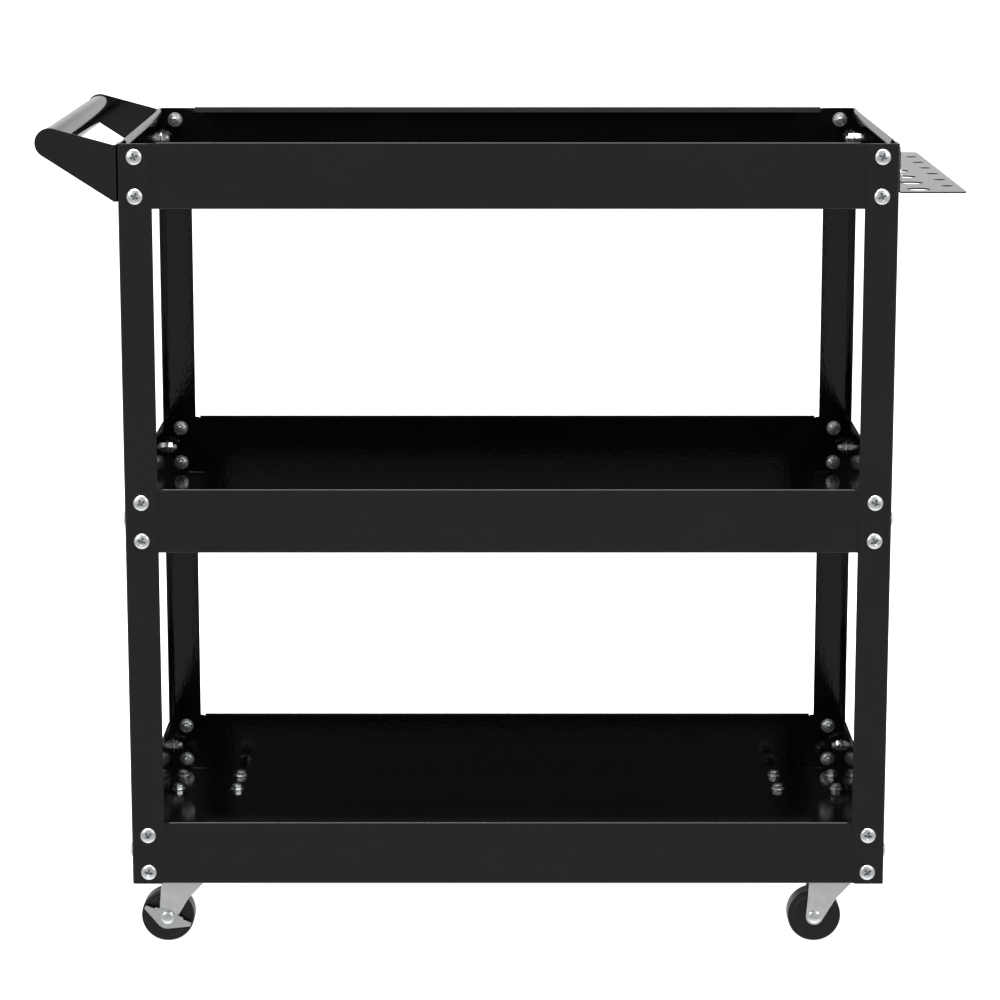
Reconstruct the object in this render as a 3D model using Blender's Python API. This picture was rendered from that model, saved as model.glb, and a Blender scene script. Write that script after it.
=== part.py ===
"""Three-tray rolling tool cart: corner posts, folded trays, push handle, tool rack and casters.

Metres, +Z up. X runs along the cart, with the handle at -X and the tool rack at +X, and Y runs
from front to back. The origin is on the ground, under the middle of the overall box.
"""
import math

import bmesh
import bpy

# ---- Driving dimensions, in metres ----
GAP = 0.0003  # air between parts that touch

FRAME_LENGTH = 0.700  # outside the posts, along X
FRAME_DEPTH = 0.394  # outside the posts, along Y
POST_LENGTH = 0.6895
POST_LEG = 0.0305
POST_SHEET = 0.0012
POST_CORNER = 0.005  # rounding of the legs' free corners

TRAY_SHEET = 0.0010
TRAY_HEIGHT = 0.0598  # hem top to underside
TRAY_PITCH = 0.3154
HEM_RISE = 0.0011  # hem top above the plain wall beside the posts
HEM_END = 0.035  # where a hem starts, from the frame's outer face
INNER_HEM = (0.0026, 0.0053)  # inward hem of the top tray: depth past the wall, height
OUTER_HEM = (0.0022, 0.0095)  # outward hem of the lower trays

BOLT_INSET = 0.01525  # bolt centres from the frame's outer faces
BOLT_DROP = 0.0128  # upper bolt below the hem top
BOLT_SPACING = 0.0356
BOLT_HEAD_RADIUS = 0.0072
BOLT_HEAD_HEIGHT = 0.0026
BOLT_RIM = 0.0007  # height of the head's edge, below its dome
BOLT_CROWN = (0.0045, 0.0022)  # radius and height where the dome flattens
BOLT_RADIUS = 0.003
BOLT_LENGTH = 0.012  # under the head
HOLE_RADIUS = 0.0037
HOLE_SIDES = 8
BOLT_SIDES = 12

HANDLE_REACH = 0.060  # grip centre from the frame's side
HANDLE_RISE = 0.0005  # grip centre above the post tops
HANDLE_END_RADIUS = 0.0135
HANDLE_ROOT = (-0.001, -0.052)  # bracket top and bottom at the frame, from the post tops
HANDLE_SHEET = 0.0015
HANDLE_FLANGE = 0.030
GRIP_RADIUS = 0.0125
GRIP_WALL = 0.0015

RACK_REACH = 0.062
RACK_LENGTH = 0.378
RACK_DROP = 0.0438  # shelf top below the post tops
RACK_SHEET = 0.0013
RACK_FLANGE_TOP = 0.004  # flange top below the post tops
RACK_CORNER = 0.005
RACK_PITCH = 0.055
SMALL_HOLES = (6, 0.0055, 0.0507)  # count, radius, distance from the frame's side
LARGE_HOLES = (7, 0.0105, 0.0212)

CASTER_HEIGHT = 0.0710  # ground to the bottom tray's underside
CASTER_X = 0.3065  # swivel axis from the frame's middle
CASTER_INSET = 0.056  # swivel axis from the front or back face
CASTER_TRAIL = 0.016
PLATE_SIZE = (0.076, 0.066, 0.0025)
PLATE_PATTERN = (0.060, 0.050)
PLATE_CORNER = 0.006
RACE_RADIUS = 0.019
RACE_HEIGHT = 0.0032
CROWN_HEIGHT = 0.0050
FORK_SHEET = 0.0020
FORK_INSIDE = 0.0230
FORK_END_RADIUS = 0.0080
FORK_BACK = 0.0050  # upright rear edge, behind the axle
FORK_BEND = (0.020, 0.018)  # lower bend of the front edge, ahead of and above the axle
FORK_SHOULDER = 0.034  # upper bend, above the axle
KINGPIN_RADIUS = 0.0048
KINGPIN_HEAD = (0.0080, 0.0028)  # radius, height
WHEEL_RADIUS = 0.025
WHEEL_WIDTH = 0.020
WHEEL_SIDES = 28
WHEEL_RECESS = 0.0008  # depth of the dished face
WHEEL_EASE = 0.0015  # rounding of the tread's edges
HUB_RADIUS = 0.0085
AXLE_RADIUS = 0.0030
AXLE_HEAD = (0.0063, 0.0022)
HEAD_TAPER = 0.8  # flat end of an axle or kingpin head, as a share of its radius
ROUND_SIDES = 24
SMALL_SIDES = 16  # small bores and pins
RUNNING_CLEARANCE = 0.0004  # radial, to the flats of a faceted bore

BRAKE_SHEET = 0.0015
BRAKE_TILT = 22  # degrees, its free end down
BRAKE_REACH = 0.0232  # axle to tip
BRAKE_BELLY = 0.0112  # radius of the lower edge about the axle
BRAKE_TIP = (-0.0003, 0.0033)  # lower and upper edge of the tips, from the axle
BRAKE_SHOULDER = (0.0147, 0.0052)  # half length and height of the raised middle
BRAKE_BLUNT = 0.0015  # corners taken off the tips

# ---- Places that follow from them ----
FRAME_X = (HANDLE_REACH + HANDLE_END_RADIUS - RACK_REACH) / 2  # centres the overall box on the origin
HALF_LENGTH = FRAME_LENGTH / 2
HALF_DEPTH = FRAME_DEPTH / 2
POST_TOP = CASTER_HEIGHT + POST_LENGTH
TRAY_X = HALF_LENGTH - POST_SHEET - GAP  # outer face of a tray's side wall, from the frame's middle
TRAY_Y = HALF_DEPTH - POST_SHEET - GAP
HEM_TOPS = [CASTER_HEIGHT + TRAY_HEIGHT + level * TRAY_PITCH for level in (2, 1, 0)]
BOLT_X = HALF_LENGTH - BOLT_INSET
BOLT_Y = HALF_DEPTH - BOLT_INSET
AXLE_Z = WHEEL_RADIUS
SIGNS = {"left": -1, "right": 1, "front": -1, "back": 1}


def bolt_heights(hem_top):
    """Heights of the two bolts on a tray's front or back face, upper one first."""
    upper = hem_top - BOLT_DROP
    return upper, upper - BOLT_SPACING


def side_bolt_height(hem_top):
    """Height of the single bolt on a tray's side face, midway between the pair."""
    return sum(bolt_heights(hem_top)) / 2


# ---- Modelling helpers ----
def material(name, colour, metallic, roughness):
    """Returns a Principled material."""
    made = bpy.data.materials.new(name)
    made.use_nodes = True
    shader = made.node_tree.nodes["Principled BSDF"]
    shader.inputs["Base Color"].default_value = (*colour, 1.0)
    shader.inputs["Metallic"].default_value = metallic
    shader.inputs["Roughness"].default_value = roughness
    return made


def finish(name, bm, surface=None, origin=(0, 0, 0), parent=None, smooth=False):
    """Turns a bmesh in world coordinates into a named object with its origin at the given point."""
    bmesh.ops.recalc_face_normals(bm, faces=bm.faces)
    bmesh.ops.translate(bm, verts=bm.verts, vec=[-value for value in origin])
    mesh = bpy.data.meshes.new(name)
    bm.to_mesh(mesh)
    bm.free()
    if surface:
        mesh.materials.append(surface)
    if smooth:
        mesh.shade_smooth()
        mesh.set_sharp_from_angle(angle=math.radians(40))
    made = bpy.data.objects.new(name, mesh)
    made.location = origin
    bpy.context.collection.objects.link(made)
    if parent:
        made.location = [value - start for value, start in zip(origin, parent.location)]
        made.parent = parent
    return made


def along(axis, u, v, w):
    """Places a point whose height w runs along the named axis."""
    return {"X": (w, u, v), "Y": (u, w, v), "Z": (u, v, w)}[axis]


def add_loft(bm, rings, hollow=False):
    """Adds a solid that runs through equal rings of points, capped at both ends or joined into a ring."""
    made = [[bm.verts.new(point) for point in ring] for ring in rings]
    count = len(made[0])
    for lower, upper in zip(made, made[1:] + (made[:1] if hollow else [])):
        for i in range(count):
            j = (i + 1) % count
            bm.faces.new((lower[i], lower[j], upper[j], upper[i]))
    if not hollow:
        bm.faces.new(made[0])
        bm.faces.new(made[-1])


def add_prism(bm, outline, axis, low, high):
    """Adds the solid that a closed outline sweeps along an axis."""
    add_loft(bm, [[along(axis, u, v, w) for u, v in outline] for w in (low, high)])


def add_turned(bm, profile, sides, axis, centre, bored=False):
    """Adds a round solid from (radius, height) points; a bored profile closes on itself."""
    step = math.tau / sides
    rings = []
    for radius, height in profile:
        angles = [step * (k + 0.5) for k in range(sides)] if radius else [0]
        rings.append([
            bm.verts.new([c + d for c, d in zip(centre, along(
                axis, radius * math.cos(a), radius * math.sin(a), height))])
            for a in angles
        ])
    for first, second in zip(rings, rings[1:] + (rings[:1] if bored else [])):
        for k in range(sides):
            m = (k + 1) % sides
            corners = [first[k % len(first)], first[m % len(first)],
                       second[m % len(second)], second[k % len(second)]]
            bm.faces.new(list(dict.fromkeys(corners)))


def box_outline(u_low, u_high, v_low, v_high):
    return [(u_low, v_low), (u_high, v_low), (u_high, v_high), (u_low, v_high)]


def arc(u, v, radius, start, end, steps):
    """Points on an arc, with angles in degrees."""
    angles = [math.radians(start + (end - start) * k / steps) for k in range(steps + 1)]
    return [(u + radius * math.cos(a), v + radius * math.sin(a)) for a in angles]


def circle(u, v, flat_radius, sides):
    """A regular polygon whose flats touch the circle of the given radius."""
    half_step = 180 / sides
    radius = flat_radius / math.cos(math.radians(half_step))
    return arc(u, v, radius, half_step, 360 - half_step, sides - 1)


def use_tool(target, bm, operation):
    """Joins a shape to an object, or cuts it away, with a hidden tool object."""
    tool = finish(f"{target.name}_{operation.lower()}", bm)
    tool.hide_render = True
    tool.display_type = "WIRE"
    step = target.modifiers.new(operation.title(), "BOOLEAN")
    step.operation = operation
    step.solver = "EXACT"
    step.object = tool


for old in list(bpy.data.objects):
    bpy.data.objects.remove(old, do_unlink=True)

BLACK_STEEL = material("black powder-coated steel", (0.016, 0.017, 0.017), 0.0, 0.22)
ZINC_STEEL = material("zinc-plated steel", (0.66, 0.67, 0.68), 1.0, 0.32)
FORK_STEEL = material("galvanised steel sheet", (0.52, 0.54, 0.55), 1.0, 0.42)
WHEEL_PLASTIC = material("black wheel plastic", (0.020, 0.020, 0.021), 0.0, 0.55)


# ---- Corner posts: an L of sheet steel with rounded free corners ----
def leg_outline(outer, inner):
    """One leg seen square on: straight along the bend, rounded at its two free corners."""
    away = math.copysign(1, inner - outer)
    centre = inner - away * POST_CORNER
    bottom, top = CASTER_HEIGHT, POST_TOP
    lower = arc(0, bottom + POST_CORNER, POST_CORNER, -90, 0, 3)
    upper = arc(0, top - POST_CORNER, POST_CORNER, 0, 90, 3)
    return [(outer, bottom), *[(centre + away * u, v) for u, v in lower + upper], (outer, top)]


def make_post(side, face):
    """The front or back leg and the side leg, joined, with a hole for every bolt."""
    sx, sy = SIGNS[side], SIGNS[face]
    outer_x, outer_y = FRAME_X + sx * HALF_LENGTH, sy * HALF_DEPTH
    bm = bmesh.new()
    add_prism(bm, leg_outline(outer_x, outer_x - sx * POST_LEG), "Y", outer_y, outer_y - sy * POST_SHEET)
    post = finish(f"post_{face}_{side}", bm, BLACK_STEEL)
    bm = bmesh.new()
    add_prism(bm, leg_outline(outer_y, outer_y - sy * POST_LEG), "X", outer_x, outer_x - sx * POST_SHEET)
    use_tool(post, bm, "UNION")
    bm = bmesh.new()
    for hem_top in HEM_TOPS:
        for height in bolt_heights(hem_top):
            add_prism(bm, circle(outer_x - sx * BOLT_INSET, height, HOLE_RADIUS, HOLE_SIDES), "Y",
                      outer_y + sy * POST_SHEET, outer_y - 2 * sy * POST_SHEET)
        add_prism(bm, circle(outer_y - sy * BOLT_INSET, side_bolt_height(hem_top), HOLE_RADIUS, HOLE_SIDES),
                  "X", outer_x + sx * POST_SHEET, outer_x - 2 * sx * POST_SHEET)
    use_tool(post, bm, "DIFFERENCE")


for side in ("left", "right"):
    for face in ("front", "back"):
        make_post(side, face)


# ---- Trays: sheet pans, as walls and floor, with hemmed rims that stop short of the posts ----
def rectangle(half_x, half_y, height):
    return [(FRAME_X + sx * half_x, sy * half_y, height) for sx, sy in ((-1, -1), (1, -1), (1, 1), (-1, 1))]


def hem_bars(hem_top, depth, height, inward):
    """Four hem bars, each as thick as its wall and the fold beside it."""
    bm = bmesh.new()
    top, bottom = hem_top, hem_top - height
    for sign in (-1, 1):
        for axis, wall, half in (("X", TRAY_Y, HALF_LENGTH), ("Y", TRAY_X, HALF_DEPTH)):
            start = FRAME_X if axis == "Y" else 0
            middle = FRAME_X if axis == "X" else 0
            near, far = (wall, wall - TRAY_SHEET - depth) if inward else (wall - TRAY_SHEET, wall + depth)
            shoulder = far + math.copysign(depth / 2, near - far)
            profile = [(near, bottom), (far, bottom), (far, top - depth / 2), (shoulder, top), (near, top)]
            placed = [(start + sign * u, v) for u, v in profile]
            add_prism(bm, placed, axis, middle - half + HEM_END, middle + half - HEM_END)
    return bm


def make_tray(name, hem_top, hem, inward):
    """A ring of four walls with its rim bars and bolt holes, and the flat floor inside it."""
    wall_top, underside = hem_top - HEM_RISE, hem_top - TRAY_HEIGHT
    inside_x, inside_y = TRAY_X - TRAY_SHEET, TRAY_Y - TRAY_SHEET
    bm = bmesh.new()
    add_loft(bm, [
        rectangle(TRAY_X, TRAY_Y, underside),
        rectangle(TRAY_X, TRAY_Y, wall_top),
        rectangle(inside_x, inside_y, wall_top),
        rectangle(inside_x, inside_y, underside),
    ], hollow=True)
    walls = finish(f"{name}_walls", bm, BLACK_STEEL)
    use_tool(walls, hem_bars(hem_top, *hem, inward), "UNION")
    bm = bmesh.new()
    for sx in (-1, 1):
        for sy in (-1, 1):
            for height in bolt_heights(hem_top):
                add_prism(bm, circle(FRAME_X + sx * BOLT_X, height, HOLE_RADIUS, HOLE_SIDES), "Y",
                          sy * (TRAY_Y + TRAY_SHEET), sy * (TRAY_Y - 2 * TRAY_SHEET))
            add_prism(bm, circle(sy * BOLT_Y, side_bolt_height(hem_top), HOLE_RADIUS, HOLE_SIDES), "X",
                      FRAME_X + sx * (TRAY_X + TRAY_SHEET), FRAME_X + sx * (TRAY_X - 2 * TRAY_SHEET))
    use_tool(walls, bm, "DIFFERENCE")
    bm = bmesh.new()
    add_loft(bm, [rectangle(inside_x - GAP, inside_y - GAP, underside + rise) for rise in (0, TRAY_SHEET)])
    floor = finish(f"{name}_floor", bm, BLACK_STEEL)
    if hem_top == HEM_TOPS[-1]:
        bm = bmesh.new()
        for x, y in caster_bolt_places():
            add_prism(bm, circle(x, y, HOLE_RADIUS, HOLE_SIDES), "Z",
                      underside - TRAY_SHEET, underside + 2 * TRAY_SHEET)
        use_tool(floor, bm, "DIFFERENCE")


def caster_axes():
    """Side, face and swivel axis of each caster."""
    for side in ("left", "right"):
        for face in ("front", "back"):
            x = FRAME_X + SIGNS[side] * CASTER_X
            y = SIGNS[face] * (HALF_DEPTH - CASTER_INSET)
            yield side, face, x, y


def caster_bolt_places():
    return [(x + sx * PLATE_PATTERN[0] / 2, y + sy * PLATE_PATTERN[1] / 2)
            for _, _, x, y in caster_axes() for sx in (-1, 1) for sy in (-1, 1)]


make_tray("tray_top", HEM_TOPS[0], INNER_HEM, True)
make_tray("tray_middle", HEM_TOPS[1], OUTER_HEM, False)
make_tray("tray_bottom", HEM_TOPS[2], OUTER_HEM, False)


# ---- Handle at -X: two tapered brackets bolted to the posts, and a grip tube between them ----
def bracket_outline():
    """A round end about the grip, with straight tangents to the bracket's root on the frame."""
    root_x = FRAME_X - HALF_LENGTH - GAP
    grip_x, grip_z = FRAME_X - HALF_LENGTH - HANDLE_REACH, POST_TOP + HANDLE_RISE
    top, bottom = [(root_x, POST_TOP + drop) for drop in HANDLE_ROOT]

    def tangent(point, turn):
        run, rise = point[0] - grip_x, point[1] - grip_z
        spread = math.acos(HANDLE_END_RADIUS / math.hypot(run, rise))
        return math.degrees(math.atan2(rise, run) + turn * spread)

    start, end = tangent(top, 1), tangent(bottom, -1) + 360
    return [bottom, top, *arc(grip_x, grip_z, HANDLE_END_RADIUS, start, end, 10)]


def make_bracket(face):
    """The tapered plate, flush with the posts' face, and its flange against the post's side leg."""
    sy = SIGNS[face]
    outer_y = sy * HALF_DEPTH
    root_x = FRAME_X - HALF_LENGTH - GAP
    top, bottom = [POST_TOP + drop for drop in HANDLE_ROOT]
    bm = bmesh.new()
    add_prism(bm, bracket_outline(), "Y", outer_y, outer_y - sy * HANDLE_SHEET)
    bracket = finish(f"handle_bracket_{face}", bm, BLACK_STEEL)
    bm = bmesh.new()
    add_prism(bm, box_outline(outer_y, outer_y - sy * HANDLE_FLANGE, bottom, top), "X",
              root_x - HANDLE_SHEET, root_x)
    use_tool(bracket, bm, "UNION")
    bm = bmesh.new()
    add_prism(bm, circle(outer_y - sy * BOLT_INSET, side_bolt_height(HEM_TOPS[0]), HOLE_RADIUS, HOLE_SIDES),
              "X", root_x - 2 * HANDLE_SHEET, root_x + HANDLE_SHEET)
    use_tool(bracket, bm, "DIFFERENCE")


make_bracket("front")
make_bracket("back")

grip_end = HALF_DEPTH - HANDLE_SHEET - GAP
grip_bore = GRIP_RADIUS - GRIP_WALL
bm = bmesh.new()
add_turned(bm, [(GRIP_RADIUS, -grip_end), (GRIP_RADIUS, grip_end), (grip_bore, grip_end),
                (grip_bore, -grip_end)], ROUND_SIDES, "Y",
           (FRAME_X - HALF_LENGTH - HANDLE_REACH, 0, POST_TOP + HANDLE_RISE), bored=True)
finish("handle_grip", bm, BLACK_STEEL, smooth=True)


# ---- Tool rack at +X: a perforated shelf hung on an upright flange ----
rack_x = FRAME_X + HALF_LENGTH + GAP
rack_out = FRAME_X + HALF_LENGTH + RACK_REACH
shelf_top = POST_TOP - RACK_DROP
rack_end = RACK_LENGTH / 2
bm = bmesh.new()
shelf = [(rack_x, -rack_end),
         *arc(rack_out - RACK_CORNER, -rack_end + RACK_CORNER, RACK_CORNER, -90, 0, 4),
         *arc(rack_out - RACK_CORNER, rack_end - RACK_CORNER, RACK_CORNER, 0, 90, 4),
         (rack_x, rack_end)]
add_prism(bm, shelf, "Z", shelf_top - RACK_SHEET, shelf_top)
rack = finish("tool_rack", bm, BLACK_STEEL)
bm = bmesh.new()
add_prism(bm, box_outline(-rack_end, rack_end, shelf_top - RACK_SHEET, POST_TOP - RACK_FLANGE_TOP), "X",
          rack_x, rack_x + RACK_SHEET)
use_tool(rack, bm, "UNION")
bm = bmesh.new()
for count, radius, reach in (SMALL_HOLES, LARGE_HOLES):
    for k in range(count):
        place = (k - (count - 1) / 2) * RACK_PITCH
        add_prism(bm, circle(FRAME_X + HALF_LENGTH + reach, place, radius, SMALL_SIDES), "Z",
                  shelf_top - 2 * RACK_SHEET, shelf_top + RACK_SHEET)
for sy in (-1, 1):
    add_prism(bm, circle(sy * BOLT_Y, side_bolt_height(HEM_TOPS[0]), HOLE_RADIUS, HOLE_SIDES), "X",
              rack_x - RACK_SHEET, rack_x + 2 * RACK_SHEET)
use_tool(rack, bm, "DIFFERENCE")


# ---- Tray bolts on the front and back faces: pan heads outside, shanks through post and tray ----
def make_bolt(name, x, z, sy):
    profile = [(0, BOLT_HEAD_HEIGHT), BOLT_CROWN, (BOLT_HEAD_RADIUS, BOLT_RIM), (BOLT_HEAD_RADIUS, 0),
               (BOLT_RADIUS, 0), (BOLT_RADIUS, -BOLT_LENGTH), (0, -BOLT_LENGTH)]
    bm = bmesh.new()
    add_turned(bm, [(r, sy * h) for r, h in profile], BOLT_SIDES, "Y", (x, sy * (HALF_DEPTH + GAP), z))
    finish(name, bm, ZINC_STEEL, smooth=True)


for level, hem_top in zip(("top", "middle", "bottom"), HEM_TOPS):
    for face in ("front", "back"):
        for side in ("left", "right"):
            for row, height in zip(("upper", "lower"), bolt_heights(hem_top)):
                make_bolt(f"bolt_{level}_{face}_{side}_{row}", FRAME_X + SIGNS[side] * BOLT_X, height,
                          SIGNS[face])


# ---- Casters: fixed plate and kingpin, swivelling fork with its axle, wheel and, at -X, a brake ----
PLATE_TOP = CASTER_HEIGHT - GAP
PLATE_BOTTOM = PLATE_TOP - PLATE_SIZE[2]
RACE_BOTTOM = PLATE_BOTTOM - RACE_HEIGHT
CROWN_TOP = RACE_BOTTOM - RUNNING_CLEARANCE
CROWN_BOTTOM = CROWN_TOP - CROWN_HEIGHT
FORK_OUTSIDE = FORK_INSIDE / 2 + FORK_SHEET


def make_plate(name, x, y):
    """The bolted top plate with its pressed upper race."""
    half_x, half_y, radius = PLATE_SIZE[0] / 2, PLATE_SIZE[1] / 2, PLATE_CORNER
    outline = []
    for quarter, (sx, sy) in enumerate(((1, 1), (-1, 1), (-1, -1), (1, -1))):
        outline += arc(x + sx * (half_x - radius), y + sy * (half_y - radius), radius,
                       90 * quarter, 90 * quarter + 90, 3)
    bm = bmesh.new()
    add_prism(bm, outline, "Z", PLATE_BOTTOM, PLATE_TOP)
    plate = finish(name, bm, FORK_STEEL)
    bm = bmesh.new()
    add_prism(bm, circle(x, y, RACE_RADIUS, ROUND_SIDES), "Z", RACE_BOTTOM, PLATE_TOP - PLATE_SIZE[2] / 2)
    use_tool(plate, bm, "UNION")
    bm = bmesh.new()
    add_prism(bm, circle(x, y, KINGPIN_RADIUS + RUNNING_CLEARANCE, SMALL_SIDES), "Z",
              RACE_BOTTOM - GAP, PLATE_TOP + GAP)
    for sx in (-1, 1):
        for sy in (-1, 1):
            place = (x + sx * PLATE_PATTERN[0] / 2, y + sy * PLATE_PATTERN[1] / 2)
            add_prism(bm, circle(*place, HOLE_RADIUS, HOLE_SIDES), "Z", PLATE_BOTTOM - GAP, PLATE_TOP + GAP)
    use_tool(plate, bm, "DIFFERENCE")


def make_kingpin(name, x, y):
    """The rivet that holds the fork up: shank through plate and crown, head below the crown."""
    radius, (head, height) = KINGPIN_RADIUS, KINGPIN_HEAD
    head_top = CROWN_BOTTOM - RUNNING_CLEARANCE
    bm = bmesh.new()
    add_turned(bm, [(0, PLATE_TOP - GAP), (radius, PLATE_TOP - GAP), (radius, head_top), (head, head_top),
                    (head * HEAD_TAPER, head_top - height), (0, head_top - height)],
               SMALL_SIDES, "Z", (x, y, 0))
    finish(name, bm, ZINC_STEEL, smooth=True)


def fork_leg_outline(x):
    """A leg seen from the side: round about the axle, upright behind, sweeping to the crown ahead."""
    axle_x, radius = x - CASTER_TRAIL, FORK_END_RADIUS
    bend_x, bend_z = axle_x + FORK_BEND[0], AXLE_Z + FORK_BEND[1]
    reach = math.hypot(bend_x - axle_x, bend_z - AXLE_Z)
    tangent = math.degrees(math.atan2(bend_z - AXLE_Z, bend_x - axle_x) - math.acos(radius / reach))
    return [(axle_x - FORK_BACK, CROWN_TOP),
            *arc(axle_x, AXLE_Z, radius, 180, 360 + tangent, 8),
            (bend_x, bend_z), (x + RACE_RADIUS, AXLE_Z + FORK_SHOULDER), (x + RACE_RADIUS, CROWN_TOP)]


def make_fork(name, x, y, pivot):
    """Two legs and the crown that carries the lower race, in one pressed piece."""
    half = FORK_INSIDE / 2
    bm = bmesh.new()
    add_prism(bm, fork_leg_outline(x), "Y", y - FORK_OUTSIDE, y + FORK_OUTSIDE)
    fork = finish(name, bm, FORK_STEEL, origin=(x, y, CROWN_TOP), parent=pivot)
    bm = bmesh.new()
    add_prism(bm, circle(x, y, RACE_RADIUS, ROUND_SIDES), "Z", CROWN_BOTTOM, CROWN_TOP)
    use_tool(fork, bm, "UNION")
    bm = bmesh.new()
    add_prism(bm, box_outline(x - 2 * RACE_RADIUS, x + 2 * RACE_RADIUS, 0, CROWN_BOTTOM), "Y",
              y - half, y + half)
    use_tool(fork, bm, "DIFFERENCE")
    bm = bmesh.new()
    add_prism(bm, circle(x, y, KINGPIN_RADIUS + RUNNING_CLEARANCE, SMALL_SIDES), "Z",
              CROWN_BOTTOM - GAP, CROWN_TOP + GAP)
    add_prism(bm, circle(x - CASTER_TRAIL, AXLE_Z, AXLE_RADIUS + GAP, SMALL_SIDES), "Y",
              y - 2 * FORK_OUTSIDE, y + 2 * FORK_OUTSIDE)
    use_tool(fork, bm, "DIFFERENCE")


def make_axle(name, x, y, pivot, allowance):
    """The headed pin through both legs; its near head stands off by the allowance for a brake."""
    head, height = AXLE_HEAD
    near, far = -FORK_OUTSIDE - GAP - allowance, FORK_OUTSIDE + GAP
    taper = head * HEAD_TAPER
    profile = [(0, near - height), (taper, near - height), (head, near), (AXLE_RADIUS, near),
               (AXLE_RADIUS, far), (head, far), (taper, far + height), (0, far + height)]
    centre = (x - CASTER_TRAIL, y, AXLE_Z)
    bm = bmesh.new()
    add_turned(bm, profile, SMALL_SIDES, "Y", centre)
    finish(name, bm, ZINC_STEEL, origin=centre, parent=pivot, smooth=True)


def make_wheel(name, x, y, pivot):
    """A bored wheel with a hub boss, a shallow recess in each face and eased tread edges."""
    flats = math.cos(math.pi / WHEEL_SIDES)
    bore, tread = (AXLE_RADIUS + RUNNING_CLEARANCE) / flats, WHEEL_RADIUS / flats
    half = WHEEL_WIDTH / 2
    side = [(bore, half), (HUB_RADIUS, half), (HUB_RADIUS + WHEEL_RECESS, half - WHEEL_RECESS),
            (tread - 3 * WHEEL_EASE, half - WHEEL_RECESS), (tread - WHEEL_EASE, half),
            (tread, half - WHEEL_EASE)]
    centre = (x - CASTER_TRAIL, y, AXLE_Z)
    bm = bmesh.new()
    add_turned(bm, side + [(r, -h) for r, h in reversed(side)], WHEEL_SIDES, "Y", centre, bored=True)
    finish(name, bm, WHEEL_PLASTIC, origin=centre, parent=pivot, smooth=True)


def brake_outline():
    """The rocker about its axle: a raised middle, blunt tips and a round belly between tangents."""
    low, high = BRAKE_TIP
    shoulder, raised = BRAKE_SHOULDER
    reach = math.hypot(BRAKE_REACH, low)
    spread = math.degrees(math.acos(BRAKE_BELLY / reach))
    start = 180 - math.degrees(math.atan2(low, BRAKE_REACH)) + spread
    belly = arc(0, 0, BRAKE_BELLY, start, 540 - start, 8)
    half = [(BRAKE_REACH, low), (BRAKE_REACH, high - BRAKE_BLUNT), (BRAKE_REACH - BRAKE_BLUNT, high),
            (shoulder, high), (shoulder - BRAKE_BLUNT, raised)]
    return belly + half + [(-u, v) for u, v in reversed(half)]


def make_brake(name, x, y, pivot):
    """The rocker lever on the axle, outside the near leg, tilted to its released position."""
    axle_x = x - CASTER_TRAIL
    tilt = math.radians(-BRAKE_TILT)
    turned = [(axle_x + u * math.cos(tilt) - v * math.sin(tilt),
               AXLE_Z + u * math.sin(tilt) + v * math.cos(tilt)) for u, v in brake_outline()]
    outer = y - FORK_OUTSIDE - RUNNING_CLEARANCE
    bm = bmesh.new()
    add_prism(bm, turned, "Y", outer - BRAKE_SHEET, outer)
    brake = finish(name, bm, ZINC_STEEL, origin=(axle_x, y, AXLE_Z), parent=pivot)
    bm = bmesh.new()
    add_prism(bm, circle(axle_x, AXLE_Z, AXLE_RADIUS + RUNNING_CLEARANCE, SMALL_SIDES), "Y",
              outer - 2 * BRAKE_SHEET, outer + BRAKE_SHEET)
    use_tool(brake, bm, "DIFFERENCE")


for side, face, x, y in caster_axes():
    where = f"{face}_{side}"
    pivot = bpy.data.objects.new(f"swivel_{where}", None)
    pivot.location = (x, y, CROWN_TOP)
    bpy.context.collection.objects.link(pivot)
    braked = side == "left"
    make_plate(f"caster_plate_{where}", x, y)
    make_kingpin(f"caster_kingpin_{where}", x, y)
    make_fork(f"caster_fork_{where}", x, y, pivot)
    make_axle(f"caster_axle_{where}", x, y, pivot, BRAKE_SHEET + RUNNING_CLEARANCE if braked else 0)
    make_wheel(f"caster_wheel_{where}", x, y, pivot)
    if braked:
        make_brake(f"brake_lever_{where}", x, y, pivot)
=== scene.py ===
"""Rolling tool cart: three folded trays bolted to angle posts, a push handle, a tool rack and casters.

Everything is in metres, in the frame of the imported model: +X from the handle to the tool rack,
+Y from the front face to the back face, +Z up. The sections follow the cart as it is put together.
"""
import math

import bmesh
import bpy
from mathutils import Matrix, Vector


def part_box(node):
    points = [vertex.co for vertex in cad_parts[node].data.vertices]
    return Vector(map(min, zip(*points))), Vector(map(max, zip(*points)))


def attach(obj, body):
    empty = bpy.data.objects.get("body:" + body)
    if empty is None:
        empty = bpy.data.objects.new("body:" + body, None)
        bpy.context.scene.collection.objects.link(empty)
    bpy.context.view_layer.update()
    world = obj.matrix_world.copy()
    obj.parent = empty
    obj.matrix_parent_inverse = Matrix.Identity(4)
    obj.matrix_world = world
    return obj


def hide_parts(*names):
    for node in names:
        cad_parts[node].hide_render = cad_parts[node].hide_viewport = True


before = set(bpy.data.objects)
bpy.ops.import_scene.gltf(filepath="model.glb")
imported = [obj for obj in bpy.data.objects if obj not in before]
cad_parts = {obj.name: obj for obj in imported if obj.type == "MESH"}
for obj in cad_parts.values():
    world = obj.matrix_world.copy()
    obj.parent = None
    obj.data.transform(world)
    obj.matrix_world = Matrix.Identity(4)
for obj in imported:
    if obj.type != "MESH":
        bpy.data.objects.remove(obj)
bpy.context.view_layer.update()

# ---- Camera ----
# A long lens at table height, square to the cart's front face and looking a little down on the trays.
CAMERA_PLACE = (-0.00174, -3.21378, 1.03902)
CAMERA_TILT = 78.7004  # degrees up from straight down
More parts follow.
